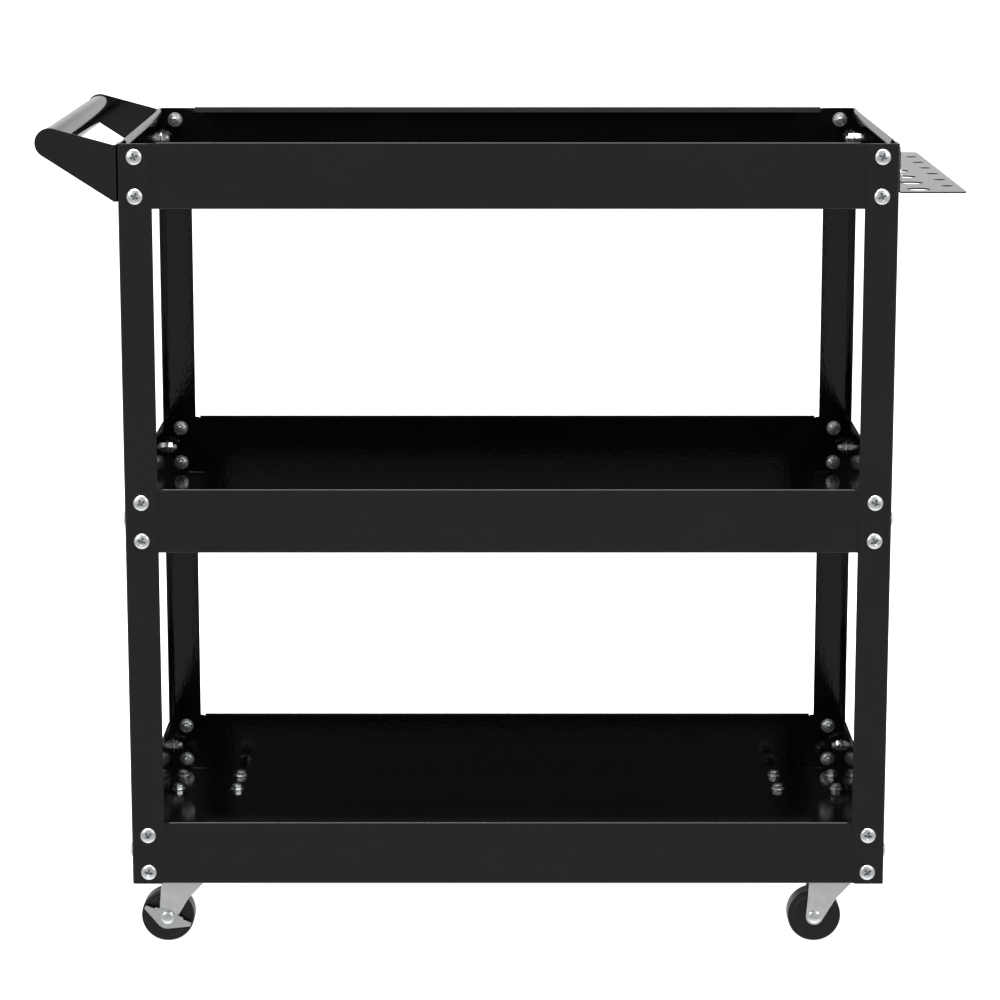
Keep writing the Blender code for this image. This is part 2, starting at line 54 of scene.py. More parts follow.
CAMERA_LENS = 121.485  # mm, on a sensor 36 mm wide

camera = bpy.data.objects.new("camera", bpy.data.cameras.new("camera"))
camera.data.lens = CAMERA_LENS
camera.data.sensor_width = 36
camera.location = CAMERA_PLACE
camera.rotation_euler = (math.radians(CAMERA_TILT), 0, 0)
bpy.context.collection.objects.link(camera)
bpy.context.scene.camera = camera
bpy.context.scene.view_settings.view_transform = "Standard"

# ---- Corner posts ----
# Each post is a strip of 1.2 mm steel folded to an angle in a press brake and powder coated black.
# Its free corners are rounded, and it is drilled for two bolts on its face and one on its side per tray.
POST_SHEET = 0.0012
POST_LEG = 0.0305
POST_CORNER = 0.005
POST_BEND = 0.0012  # inside radius
BOLT_INSET = 0.01525  # bolt centres from the posts' outer faces
BOLT_DROP = 0.0128  # upper bolt below a tray's rim
BOLT_SPACING = 0.0356
BOLT_HOLE = 0.0034
POST_EASE = 0.0003
SHARP_EDGE = math.radians(35)  # edges turning more than this stay sharp
EASED_EDGE = math.radians(40)
ON_LINE = 1e-7
TAB_SLACK = 1e-6
SIGNS = {"left": -1, "right": 1, "front": -1, "back": 1}
LEVELS = ("top", "middle", "bottom")

frame_left, frame_front, post_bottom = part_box("post_front_left")[0]
frame_right, frame_back, post_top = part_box("post_back_right")[1]
frame_middle = (frame_left + frame_right) / 2
rims = {level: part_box(f"tray_{level}_walls")[1].z for level in LEVELS}
corners = [(face, side) for face in ("front", "back") for side in ("left", "right")]


def linear(code):
    """Turns an sRGB hex colour into the linear colour that a shader takes."""
    channels = [int(code[k:k + 2], 16) / 255 for k in (1, 3, 5)]
    return *[c / 12.92 if c <= 0.04045 else ((c + 0.055) / 1.055) ** 2.4 for c in channels], 1.0


def add_node(tree, kind, inputs=None, **settings):
    """Adds a node with its settings, and links or sets its inputs."""
    made = tree.nodes.new(kind)
    for name, value in settings.items():
        setattr(made, name, value)
    for socket, value in (inputs or {}).items():
        if isinstance(value, bpy.types.NodeSocket):
            tree.links.new(value, made.inputs[socket])
        else:
            made.inputs[socket].default_value = value
    return made


def new_finish(name):
    """A material with its node tree, shader and the place on the piece in metres."""
    made = bpy.data.materials.new(name)
    made.use_nodes = True
    tree = made.node_tree
    return made, tree, tree.nodes["Principled BSDF"], add_node(tree, "ShaderNodeTexCoord").outputs["Object"]


def powder_coat():
    """Gloss black polyester powder, sprayed dry and baked.

    It flows out glassy as it bakes but keeps an orange peel, so the mirror images in it are rippled.
    The peel is 4 mm from crest to crest under a finer grain of 1.5 mm, the finest that shows.
    """
    made, tree, shader, place = new_finish("gloss black powder coat")
    peel = add_node(tree, "ShaderNodeTexNoise", {"Vector": place, "Scale": 1 / 0.004, "Detail": 2.0})
    grain = add_node(tree, "ShaderNodeTexNoise", {"Vector": place, "Scale": 1 / 0.0015, "Detail": 1.0})
    film = add_node(tree, "ShaderNodeTexNoise", {"Vector": place, "Scale": 1 / 0.09, "Detail": 3.0})
    waves = add_node(tree, "ShaderNodeBump", {"Height": peel.outputs["Fac"], "Distance": 0.00010})
    surface = add_node(tree, "ShaderNodeBump", {"Height": grain.outputs["Fac"], "Distance": 0.000012,
                                                "Normal": waves.outputs["Normal"]})
    gloss = add_node(tree, "ShaderNodeMapRange", {"Value": film.outputs["Fac"], "From Min": 0.3,
                                                  "From Max": 0.7, "To Min": 0.05, "To Max": 0.10})
    colour = add_node(tree, "ShaderNodeValToRGB", {"Fac": film.outputs["Fac"]})
    colour.color_ramp.elements[0].color = linear("#070707")
    colour.color_ramp.elements[1].color = linear("#0b0b0b")
    tree.links.new(colour.outputs["Color"], shader.inputs["Base Color"])
    tree.links.new(gloss.outputs["Result"], shader.inputs["Roughness"])
    tree.links.new(surface.outputs["Normal"], shader.inputs["Normal"])
    shader.inputs["IOR"].default_value = 1.5
    return made


def arc(u, v, radius, start, end, steps):
    """Points on an arc, with angles in degrees."""
    angles = [math.radians(start + (end - start) * k / steps) for k in range(steps + 1)]
    return [(u + radius * math.cos(a), v + radius * math.sin(a)) for a in angles]


def circle(u, v, radius, sides=40):
    """Points round a circle, with the first not repeated."""
    return arc(u, v, radius, 0, 360 - 360 / sides, sides - 1)


def cut_blank(outline, holes, sheet):
    """Cuts a flat blank and its holes from sheet of the given thickness, lying on z = 0."""
    bm = bmesh.new()
    loops = []
    for points in [outline, *holes]:
        loop = [bm.verts.new((u, v, 0)) for u, v in points]
        loops.append(list(zip(loop, loop[1:] + loop[:1])))
        for pair in loops[-1]:
            bm.edges.new(pair)
    bmesh.ops.triangle_fill(bm, use_beauty=True, use_dissolve=False, edges=bm.edges[:], normal=(0, 0, 1))
    lower = bm.faces[:]
    above = {vert: bm.verts.new((vert.co.x, vert.co.y, sheet)) for vert in bm.verts[:]}
    for face in lower:
        bm.faces.new([above[vert] for vert in face.verts])
    for loop in loops:
        for a, b in loop:
            bm.faces.new((a, b, above[b], above[a]))
    bmesh.ops.recalc_face_normals(bm, faces=bm.faces[:])
    return bm


def bend_length(angle, radius, sheet):
    """Length of sheet that a bend takes up, measured along the middle of the sheet."""
    return math.radians(angle) * (radius + sheet / 2)


def fold(bm, start, outward, angle, radius, sheet, up=True, reach=None, steps=6):
    """Bends the sheet beyond a line, by an angle in degrees, like a press brake.

    start is a point on the line and outward points from it across the bend. With reach, only the
    part within that distance of start along the line bends, as where a tab is cut free by notches.
    """
    origin, direction = Vector((*start, 0)), Vector((*outward, 0))
    across = Vector((-direction.y, direction.x, 0))
    neutral, length = radius + sheet / 2, bend_length(angle, radius, sheet)
    for k in range(steps + 1):
        bmesh.ops.bisect_plane(bm, geom=bm.verts[:] + bm.edges[:] + bm.faces[:], dist=ON_LINE,
                               plane_co=origin + direction * (length * k / steps), plane_no=direction)
    for vert in bm.verts:
        offset = vert.co - origin
        out = offset.dot(direction)
        if out <= ON_LINE or (reach and abs(offset.dot(across)) > reach + TAB_SLACK):
            continue
        height = vert.co.z if up else sheet - vert.co.z
        turn, beyond = min(out, length) / neutral, max(out - length, 0)
        arm = radius + sheet - height
        moved = arm * math.sin(turn) + beyond * math.cos(turn)
        risen = radius + sheet - arm * math.cos(turn) + beyond * math.sin(turn)
        vert.co += direction * (moved - out)
        vert.co.z = risen if up else sheet - risen


def to_mesh(name, bm, finish):
    """A mesh that shades smoothly round its bends and keeps its cut edges sharp."""
    bmesh.ops.recalc_face_normals(bm, faces=bm.faces[:])
    mesh = bpy.data.meshes.new(name)
    bm.to_mesh(mesh)
    bm.free()
    mesh.materials.append(finish)
    mesh.shade_smooth()
    mesh.set_sharp_from_angle(angle=SHARP_EDGE)
    return mesh


def show(name, mesh, slot, body, *stands_for, place=None, eased=0):
    """Adds a piece that rides on a body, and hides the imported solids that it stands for."""
    piece = bpy.data.objects.new(name, mesh)
    bpy.context.collection.objects.link(piece)
    if place:
        piece.matrix_world = place
    if eased:
        edges = piece.modifiers.new("eased edges", "BEVEL")
        edges.width, edges.segments, edges.limit_method = eased, 2, "ANGLE"
        edges.angle_limit = EASED_EDGE
        edges.use_clamp_overlap = True
    flat = piece.modifiers.new("flat faces stay flat", "WEIGHTED_NORMAL")
    flat.keep_sharp = not eased
    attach(piece, body)
    if stands_for:
        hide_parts(*stands_for)
    return piece


def face_bolt_heights(level):
    """Heights of the two bolts through a post's face at one tray."""
    return {"upper": rims[level] - BOLT_DROP, "lower": rims[level] - BOLT_DROP - BOLT_SPACING}


def side_bolt_height(level):
    """Height of the bolt through a post's side, half way between the two on its face."""
    return rims[level] - BOLT_DROP - BOLT_SPACING / 2


def stand_in_corner(bm, side_face, front_face, sx, sy, setback):
    """Stands a folded angle up: its flat leg against the front face, its folded leg against the side."""
    for vert in bm.verts:
        u, height, depth = vert.co
        vert.co = (side_face - sx * (setback - u), front_face - sy * depth, height)


black = powder_coat()
post_setback = POST_BEND + POST_SHEET
post_curve = bend_length(90, POST_BEND, POST_SHEET)
post_flat = POST_LEG - post_setback
low_u, high_u = POST_CORNER - post_flat, post_curve + post_flat - POST_CORNER
post_outline = [*arc(low_u, post_bottom + POST_CORNER, POST_CORNER, 180, 270, 8),
                *arc(high_u, post_bottom + POST_CORNER, POST_CORNER, 270, 360, 8),
                *arc(high_u, post_top - POST_CORNER, POST_CORNER, 0, 90, 8),
                *arc(low_u, post_top - POST_CORNER, POST_CORNER, 90, 180, 8)]
post_holes = []
for level in LEVELS:
    for height in face_bolt_heights(level).values():
        post_holes.append(circle(post_setback - BOLT_INSET, height, BOLT_HOLE))
    post_holes.append(circle(post_curve - post_setback + BOLT_INSET, side_bolt_height(level), BOLT_HOLE))
for face, side in corners:
    bm = cut_blank(post_outline, post_holes, POST_SHEET)
    fold(bm, (0, 0), (1, 0), 90, POST_BEND, POST_SHEET)
    stand_in_corner(bm, frame_right if side == "right" else frame_left,
                    frame_back if face == "back" else frame_front, SIGNS[side], SIGNS[face], post_setback)
    show(f"angle_post_{face}_{side}", to_mesh(f"angle_post_{face}_{side}", bm, black),
         "black_powder_coat", "frame", f"post_{face}_{side}", eased=POST_EASE)

# ---- Trays ----
# Each tray is one blank of 1 mm sheet, with its four walls folded up and a hem rolled along each rim.
# The hems stop short of the posts. The top tray's lean inward, and the other two trays' lie flat outside.
TRAY_SHEET = 0.0010
TRAY_BEND = 0.0003
TRAY_CLEARANCE = 0.0015  # from the frame's outer faces to the walls' outer faces
CORNER_GAP = 0.0003
RIM_STEP = 0.0011  # plain wall beside the hems, below the rim
HEM_END = 0.035  # from the frame's outer faces
HEM_NOTCH = 0.0006  # width of the relief cut at each end of a hem
INNER_HEM = (0.0003, 65, 0.0053)  # inside radius, bend of the lip in degrees, and height
OUTER_HEM = (0.0006, 90, 0.0095)
CASTER_PATTERN = (0.060, 0.050)
TRAY_EASE = 0.00025

tray_x = (frame_right - frame_left) / 2 - TRAY_CLEARANCE
tray_y = (frame_back - frame_front) / 2 - TRAY_CLEARANCE
tray_setback = TRAY_BEND + TRAY_SHEET
tray_curve = bend_length(90, TRAY_BEND, TRAY_SHEET)
swivels = {}
for face, side in corners:
    low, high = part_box(f"caster_plate_{face}_{side}")
    swivels[face, side] = (low + high) / 2
caster_bolts = {}
for (face, side), swivel in swivels.items():
    for sx in (-1, 1):
        for sy in (-1, 1):
            caster_bolts[face, side, sx, sy] = (swivel.x + sx * CASTER_PATTERN[0] / 2,
                                                swivel.y + sy * CASTER_PATTERN[1] / 2)


def wall_edge(half_base, half_wall, half_hem, plain, hem_fold, hem_end):
    """One wall's edge on the blank, as (along, out) points between the two ends of its bend."""
    relief = tray_curve + CORNER_GAP
    notch_side, notch_floor = half_hem + HEM_NOTCH, hem_fold - HEM_NOTCH
    half = [(half_base, relief), (half_wall, relief), (half_wall, plain), (notch_side, plain),
            (notch_side, notch_floor), (half_hem, notch_floor), (half_hem, hem_end)]
    return [(-half_base, 0)] + [(-along, out) for along, out in half] + half[::-1]


def make_tray(level, hem, inward):
    """Cuts the blank, folds each hem over by two bends, the lip first, then folds the walls up."""
    floor_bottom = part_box(f"tray_{level}_floor")[0].z
    rise = tray_curve - tray_setback - floor_bottom  # from a height on a wall to its place on the blank
    radius, lip_angle, hem_height = hem
    lip_turn = math.radians(lip_angle)
    hem_fold = rims[level] + rise - radius - TRAY_SHEET
    lip_fold = hem_fold + bend_length(90, radius, TRAY_SHEET)
    lip = (hem_height - (radius + TRAY_SHEET) * (1 - math.cos(lip_turn))) / math.sin(lip_turn)
    hem_end = lip_fold + bend_length(lip_angle, radius, TRAY_SHEET) + lip
    plain = rims[level] + rise - RIM_STEP
    base_x, base_y = tray_x - tray_setback, tray_y - tray_setback
    ends = (base_x, tray_x, tray_x + TRAY_CLEARANCE - HEM_END)
    sides = (base_y, tray_y - TRAY_SHEET - CORNER_GAP, tray_y + TRAY_CLEARANCE - HEM_END)
    walls = [((0, -1), base_y, ends), ((1, 0), base_x, sides),
             ((0, 1), base_y, ends), ((-1, 0), base_x, sides)]
    outline, holes = [], []
    for (dx, dy), base, halves in walls:
        edge = wall_edge(*halves, plain, hem_fold, hem_end)
        outline += [(dx * (base + out) - dy * along, dy * (base + out) + dx * along) for along, out in edge]
        if dy:
            spots = [(tray_x + TRAY_CLEARANCE - BOLT_INSET, z) for z in face_bolt_heights(level).values()]
        else:
            spots = [(tray_y + TRAY_CLEARANCE - BOLT_INSET, side_bolt_height(level))]
        for along, height in spots:
            for sign in (-1, 1):
                out = base + height + rise
                holes.append(circle(dx * out - dy * sign * along, dy * out + dx * sign * along, BOLT_HOLE))
    if level == "bottom":
        holes += [circle(x - frame_middle, y, BOLT_HOLE) for x, y in caster_bolts.values()]
    bm = cut_blank(outline, holes, TRAY_SHEET)
    for (dx, dy), base, halves in walls:
        for line, angle in ((lip_fold, lip_angle), (hem_fold, 90)):
            fold(bm, (dx * (base + line), dy * (base + line)), (dx, dy), angle, radius, TRAY_SHEET,
                 up=inward, reach=halves[2], steps=5)
    for (dx, dy), base, halves in walls:
        fold(bm, (dx * base, dy * base), (dx, dy), 90, TRAY_BEND, TRAY_SHEET, reach=halves[1])
    bmesh.ops.translate(bm, verts=bm.verts, vec=(frame_middle, 0, floor_bottom))
    show(f"folded_tray_{level}", to_mesh(f"folded_tray_{level}", bm, black), "black_powder_coat", "frame",
         f"tray_{level}_walls", f"tray_{level}_floor", eased=TRAY_EASE)


make_tray("top", INNER_HEM, True)
make_tray("middle", OUTER_HEM, False)
make_tray("bottom", OUTER_HEM, False)

# ---- Tray bolts and nuts ----
# M6 by 12 pan heads with a cross recess, and flange nuts on the inside, all zinc plated and clear
# passivated. At every tray two go through each post's face and one through its side.
HEAD_RADIUS = 0.0072
HEAD_HEIGHT = 0.0029
HEAD_RIM = 0.0008
SHANK_RADIUS = 0.003
TRAY_SHANK = 0.012
THREAD_PITCH = 0.001
THREAD_DEPTH = 0.0003
CROSS_TOP = (0.0042, 0.00095)  # half length and half width of the recess at the top
CROSS_BOTTOM = (0.0020, 0.0004)
CROSS_DEPTH = 0.0024
CROSS_START = 0.0002  # the punch is this far above the dome where it is full width
NUT = (0.0072, 0.0094, 0.0054)  # flange radius, width across flats, height
FLANGE_EDGE = 0.0008
FLANGE_EASE = 0.0003
FLANGE_CROWN = 1.3  # where the hexagon leaves the flange, in heights of the flange's edge
NUT_TOP = 0.97  # flat round top, as a part of the width across flats
NUT_CHAMFER = math.radians(30)
NUT_CLEARANCE = 0.0001
NUT_COUNTERSINK = 0.0005
DOME_STEPS = 10
TURNED_SIDES = 48
FACE_TURNS = {"upper": 20, "lower": 63}  # degrees that the first bolt of each row stops at
FACE_STEP, SIDE_STEP, SIDE_NUT_STEP = 47, 31, 53  # degrees from one to the next, so that no two look alike
NUT_TURN = 1.7  # a face nut's angle, in angles of its bolt
HELD_FLANGE = {"left": 0.0018, "right": 0.0013}  # handle or rack flange under the top side bolts' heads


def zinc_plating(name, dark, light):
    """Bright zinc over steel, clear passivated.

    It is a pale, slightly cloudy metal that spreads its highlights. The cloud is drawn at 2 mm,
    coarser than the real crystals, so that it shows.
    """
    made, tree, shader, place = new_finish(name)
    cloud = add_node(tree, "ShaderNodeTexNoise", {"Vector": place, "Scale": 1 / 0.002, "Detail": 3.0})
    haze = add_node(tree, "ShaderNodeMapRange", {"Value": cloud.outputs["Fac"], "From Min": 0.3,
                                                 "From Max": 0.7, "To Min": 0.24, "To Max": 0.36})
    pits = add_node(tree, "ShaderNodeBump", {"Height": cloud.outputs["Fac"], "Distance": 0.00002})
    colour = add_node(tree, "ShaderNodeValToRGB", {"Fac": cloud.outputs["Fac"]})
    colour.color_ramp.elements[0].color = linear(dark)
    colour.color_ramp.elements[1].color = linear(light)
    tree.links.new(colour.outputs["Color"], shader.inputs["Base Color"])
    tree.links.new(haze.outputs["Result"], shader.inputs["Roughness"])
    tree.links.new(pits.outputs["Normal"], shader.inputs["Normal"])
    shader.inputs["Metallic"].default_value = 1.0
    return made


def skin(rings, closed=False):
    """Joins rings of points into one surface; a ring of a single point closes an end."""
    bm = bmesh.new()
    made = [[bm.verts.new(point) for point in ring] for ring in rings]
    for first, second in zip(made, made[1:] + (made[:1] if closed else [])):
        sides = max(len(first), len(second))
        for k in range(sides):
            m = (k + 1) % sides
            loop = [first[k % len(first)], first[m % len(first)],
                    second[m % len(second)], second[k % len(second)]]
            bm.faces.new(list(dict.fromkeys(loop)))
    return bm


def turn(profile, sides=TURNED_SIDES, closed=False):
    """Turns (radius, height) points about Z, as a lathe does; a closed profile leaves a bore."""
    rings = []
    for radius, height in profile:
        angles = [math.tau * k / sides for k in range(sides)] if radius else [0]
        rings.append([(radius * math.cos(a), radius * math.sin(a), height) for a in angles])
    return skin(rings, closed)


def threaded(radius, start, end):
    """A screw thread's outline from start down to end, with a crest for every turn."""
    count = round((start - end) / THREAD_PITCH)
    points = []
    for k in range(count):
        points += [(radius - THREAD_DEPTH, start - k * THREAD_PITCH),
                   (radius, start - (k + 0.5) * THREAD_PITCH)]
    return points + [(radius - 2 * THREAD_DEPTH, end), (0, end)]


def bolt_mesh(shank):
    """A domed pan head with a tapered cross pressed into it, over a threaded shank; the cross's faces carry
    painted shade.
    """
    dome = [(HEAD_RADIUS * math.sin(a), HEAD_RIM + (HEAD_HEIGHT - HEAD_RIM) * math.cos(a))
            for a in [math.radians(90 * k / DOME_STEPS) for k in range(DOME_STEPS + 1)]]
    head = bpy.data.objects.new("head", to_mesh("head", turn(
        [*dome, (HEAD_RADIUS, 0), *threaded(SHANK_RADIUS, 0, -shank)]), zinc))
    rings = []
    ends = ((CROSS_BOTTOM, HEAD_HEIGHT - CROSS_DEPTH), (CROSS_TOP, HEAD_HEIGHT + CROSS_START))
    for (reach, width), height in ends:
        arm = [(reach, -width), (reach, width), (width, width)]
        ring = [(x * c - y * s, x * s + y * c, height)
                for c, s in ((1, 0), (0, 1), (-1, 0), (0, -1)) for x, y in arm]
        rings.append(ring)
    bm = skin(rings)
    bm.verts.ensure_lookup_table()
    bm.faces.new(bm.verts[:12])
    bm.faces.new(bm.verts[12:])
    # The faces cut by the cross take a darker zinc: painted shade for the shade down in the recess.
    cross = bpy.data.objects.new("cross", to_mesh("cross", bm, shaded_recess_zinc))
    for made in (head, cross):
        bpy.context.collection.objects.link(made)
    cut = head.modifiers.new("cut", "BOOLEAN")
    cut.operation, cut.solver, cut.object = "DIFFERENCE", "EXACT", cross
    cut.material_mode = "TRANSFER"
    mesh = bpy.data.meshes.new_from_object(head.evaluated_get(bpy.context.evaluated_depsgraph_get()))
    bpy.data.objects.remove(head)
    bpy.data.objects.remove(cross)
    mesh.set_sharp_from_angle(angle=SHARP_EDGE)
    return mesh


def nut_mesh(flange, flats, height):
    """A chamfered hexagon on a sloping round flange, bored through."""
    angles = [math.tau * k / TURNED_SIDES for k in range(TURNED_SIDES)]
    bore, top = SHANK_RADIUS + NUT_CLEARANCE, flats / 2 * NUT_TOP

    def hexagon(level, chamfered=False):
        ring = []
        for a in angles:
            radius = flats / 2 / math.cos((a + math.pi / 6) % (math.pi / 3) - math.pi / 6)
            fall = max(radius - top, 0) * math.tan(NUT_CHAMFER) if chamfered else 0
            ring.append((radius * math.cos(a), radius * math.sin(a), level - fall))
        return ring

    def round_ring(radius, level):
        return [(radius * math.cos(a), radius * math.sin(a), level) for a in angles]

    return to_mesh("nut", skin([
        round_ring(bore, 0), round_ring(flange - FLANGE_EASE, 0), round_ring(flange, FLANGE_EASE),
        round_ring(flange, FLANGE_EDGE), hexagon(FLANGE_CROWN * FLANGE_EDGE), hexagon(height, True),
        round_ring(top, height), round_ring(bore + NUT_COUNTERSINK, height),
        round_ring(bore, height - NUT_COUNTERSINK)], closed=True), zinc)


def facing(at, towards, turned=0):
    """Puts a turned piece at a place, with its top towards a direction."""
    aim = Vector(towards).to_track_quat("Z", "Y").to_matrix().to_4x4()
    return Matrix.Translation(at) @ aim @ Matrix.Rotation(math.radians(turned), 4, "Z")


zinc = zinc_plating("clear passivated zinc plating", "#dfe2e4", "#f5f7f8")
# A darker copy of the zinc, used as painted shade down in the cross recesses.
shaded_recess_zinc = zinc_plating("zinc plating darkened in the recess as painted shade", "#a4a8ab", "#bcc0c3")
bolt = bolt_mesh(TRAY_SHANK)
nut = nut_mesh(*NUT)
wall_inside_x, wall_inside_y = tray_x - TRAY_SHEET, tray_y - TRAY_SHEET
for count, (level, (face, side)) in enumerate((level, corner) for level in LEVELS for corner in corners):
    sx, sy = SIGNS[side], SIGNS[face]
    x = frame_middle + sx * (tray_x + TRAY_CLEARANCE - BOLT_INSET)
    for row, z in face_bolt_heights(level).items():
        where = f"{level}_{face}_{side}_{row}"
        turned = FACE_STEP * count + FACE_TURNS[row]
        outside = frame_back if face == "back" else frame_front
        show(f"pan_head_bolt_{where}", bolt, "zinc_plated_steel", "frame", f"bolt_{where}",
             place=facing((x, outside, z), (0, sy, 0), turned))
        show(f"flange_nut_{where}", nut, "zinc_plated_steel", "frame",
             place=facing((x, sy * wall_inside_y, z), (0, -sy, 0), NUT_TURN * turned))
    y, z = sy * (tray_y + TRAY_CLEARANCE - BOLT_INSET), side_bolt_height(level)
    outside = frame_right if side == "right" else frame_left
    if level == "top":
        outside += sx * HELD_FLANGE[side]
    show(f"side_bolt_{level}_{face}_{side}", bolt, "zinc_plated_steel", "frame",
         place=facing((outside, y, z), (sx, 0, 0), SIDE_STEP * count))
    show(f"side_nut_{level}_{face}_{side}", nut, "zinc_plated_steel", "frame",
         place=facing((frame_middle + sx * wall_inside_x, y, z), (-sx, 0, 0), SIDE_NUT_STEP * count))

# ---- Push handle ----
# A 25 mm steel tube, welded between two 1.5 mm plates that taper back to the left posts.
# Each plate's root is folded round the post's side and held by its side bolt. All of it is powder coated.
HANDLE_SHEET = 0.0015
HANDLE_BEND = 0.0015
HANDLE_FLANGE = 0.030
HANDLE_END_RADIUS = 0.0134
FLANGE_CORNER = 0.003
GRIP_WALL = 0.0015
GRIP_EASE = 0.0004
HANDLE_ROOT = (0.001, 0.052)  # a plate's top and bottom at the post, below the post's top

grip_low, grip_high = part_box("handle_grip")
grip = (grip_low + grip_high) / 2
grip_radius = (grip_high.z - grip_low.z) / 2
half_grip = (grip_high.y - grip_low.y) / 2
ease = arc(-GRIP_EASE, -GRIP_EASE, GRIP_EASE, 0, 90, 3)
outer_end = [(grip_radius + du, half_grip + dv) for du, dv in ease]
bm = turn([*outer_end, (grip_radius - GRIP_WALL, half_grip), (grip_radius - GRIP_WALL, -half_grip),
           *[(u, -v) for u, v in outer_end[::-1]]], sides=64, closed=True)
show("grip_tube", to_mesh("grip_tube", bm, black), "black_powder_coat", "frame", "handle_grip",
     place=facing(grip, (0, 1, 0)))

bracket_setback = HANDLE_BEND + HANDLE_SHEET
bracket_curve = bend_length(90, HANDLE_BEND, HANDLE_SHEET)
root_top, root_bottom = [post_top - drop for drop in HANDLE_ROOT]
for face in ("front", "back"):
    root_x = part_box(f"handle_bracket_{face}")[1].x
    end_u = grip.x - root_x + bracket_setback

    def tangent(height, turned):
        """Angle at which the plate's edge from this height at the root meets its rounded end."""
        run, rise = -end_u, height - grip.z
        spread = math.acos(HANDLE_END_RADIUS / math.hypot(run, rise))
        return math.degrees(math.atan2(rise, run) + turned * spread)

    flange_u = bracket_curve + HANDLE_FLANGE - bracket_setback - FLANGE_CORNER
    outline = [(0, root_top), *arc(end_u, grip.z, HANDLE_END_RADIUS, tangent(root_top, 1),
                                   tangent(root_bottom, -1) + 360, 24), (0, root_bottom),
               *arc(flange_u, root_bottom + FLANGE_CORNER, FLANGE_CORNER, 270, 360, 5),
               *arc(flange_u, root_top - FLANGE_CORNER, FLANGE_CORNER, 0, 90, 5)]
    hole = circle(bracket_curve - bracket_setback + BOLT_INSET, side_bolt_height("top"), BOLT_HOLE)
    bm = cut_blank(outline, [hole], HANDLE_SHEET)
    fold(bm, (0, 0), (1, 0), 90, HANDLE_BEND, HANDLE_SHEET)
    stand_in_corner(bm, root_x, frame_back if face == "back" else frame_front, 1, SIGNS[face],
                    bracket_setback)
    show(f"tapered_bracket_{face}", to_mesh(f"tapered_bracket_{face}", bm, black), "black_powder_coat",
         "frame", f"handle_bracket_{face}")

# ---- Tool rack ----
# A shelf of 1.3 mm sheet punched with seven large and six small holes for screwdrivers and sockets.
# Its inner edge is folded up and bolted to the right posts, and it is powder coated with the rest.
RACK_SHEET = 0.0013
RACK_BEND = 0.0013
RACK_CORNER = 0.005
RACK_PITCH = 0.055
SMALL_HOLES = (6, 0.0055, 0.0507)  # count, radius, distance from the posts' side
LARGE_HOLES = (7, 0.0105, 0.0212)

rack_low, rack_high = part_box("tool_rack")
rack_setback = RACK_BEND + RACK_SHEET
rack_curve = bend_length(90, RACK_BEND, RACK_SHEET)
fold_x = rack_low.x + rack_setback
rack_rise = rack_curve - rack_setback - rack_low.z
flange_x = fold_x - rack_high.z - rack_rise
end = rack_high.y
outline = [*arc(rack_high.x - RACK_CORNER, -end + RACK_CORNER, RACK_CORNER, -90, 0, 8),
           *arc(rack_high.x - RACK_CORNER, end - RACK_CORNER, RACK_CORNER, 0, 90, 8),
           *arc(flange_x + RACK_CORNER, end - RACK_CORNER, RACK_CORNER, 90, 180, 8),
           *arc(flange_x + RACK_CORNER, -end + RACK_CORNER, RACK_CORNER, 180, 270, 8)]
holes = [circle(frame_right + reach, (k - (count - 1) / 2) * RACK_PITCH, radius, 56)
         for count, radius, reach in (SMALL_HOLES, LARGE_HOLES) for k in range(count)]
holes += [circle(fold_x - side_bolt_height("top") - rack_rise, sign * (tray_y + TRAY_CLEARANCE - BOLT_INSET),
                 BOLT_HOLE) for sign in (-1, 1)]
bm = cut_blank(outline, holes, RACK_SHEET)
fold(bm, (fold_x, 0), (-1, 0), 90, RACK_BEND, RACK_SHEET)
bmesh.ops.translate(bm, verts=bm.verts, vec=(0, 0, rack_low.z))
show("punched_tool_rack", to_mesh("punched_tool_rack", bm, black), "black_powder_coat", "frame", "tool_rack")

# ---- Caster top plates, bolts and kingpins ----
# A galvanised plate with a pressed ball race, bolted up through the bottom tray with four short M6 bolts.
# The kingpin is a rivet that holds the fork up against the balls.
PLATE_CORNER = 0.006
PLATE_SHEET = 0.0025
RACE_RADIUS = 0.019
RACE_ROOT = 0.0005  # how far the race starts inside the plate it is pressed from
RACE_EASE = 0.0012
PLATE_SHANK = 0.0095
SMALL_NUT = (0.0068, 0.0090, 0.0050)
KINGPIN_RADIUS = 0.0048
KINGPIN_EASE = 0.0008
KINGPIN_HEAD = ((1, 0.0028), (1, 0.0016), (0.86, 0.0006), (0.6, 0))  # part of its radius, height
PLATE_EASE = 0.0004
PLATE_BOLT_STEP, PLATE_NUT_STEP = 41, 29  # degrees from one to the next


